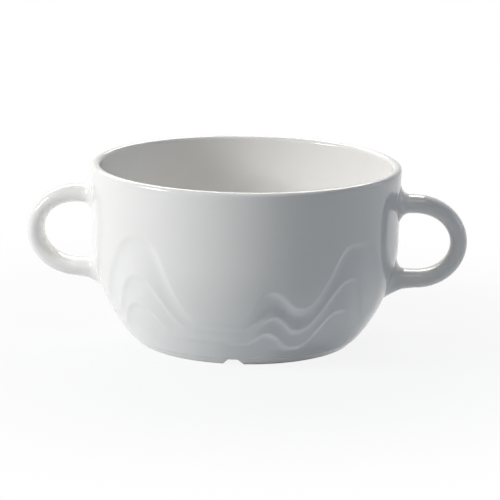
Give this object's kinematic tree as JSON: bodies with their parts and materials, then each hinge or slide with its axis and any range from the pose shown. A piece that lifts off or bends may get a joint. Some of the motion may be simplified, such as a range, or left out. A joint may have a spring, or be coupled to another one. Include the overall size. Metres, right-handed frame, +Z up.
{
  "type": "lug soup bowl",
  "caption": "Round white porcelain soup bowl with a looped lug handle on each side, a moulded wave relief on the lower wall and a notched foot ring.",
  "frame": {"origin": "centre of the foot ring on the plane that the bowl stands on", "axes": "+Z up along the bowl's axis, +X through the lugs, front of the wave relief towards -Y"},
  "size_m": [0.1506, 0.1052, 0.0604],
  "materials": {
    "glazed_porcelain": "gloss",
    "bare_porcelain": "matt"
  },
  "bodies": {
    "root": {"bowl_body": "glazed_porcelain", "handle_left": "glazed_porcelain", "handle_right": "glazed_porcelain", "foot_ring": "bare_porcelain"}
  },
  "joints": []
}
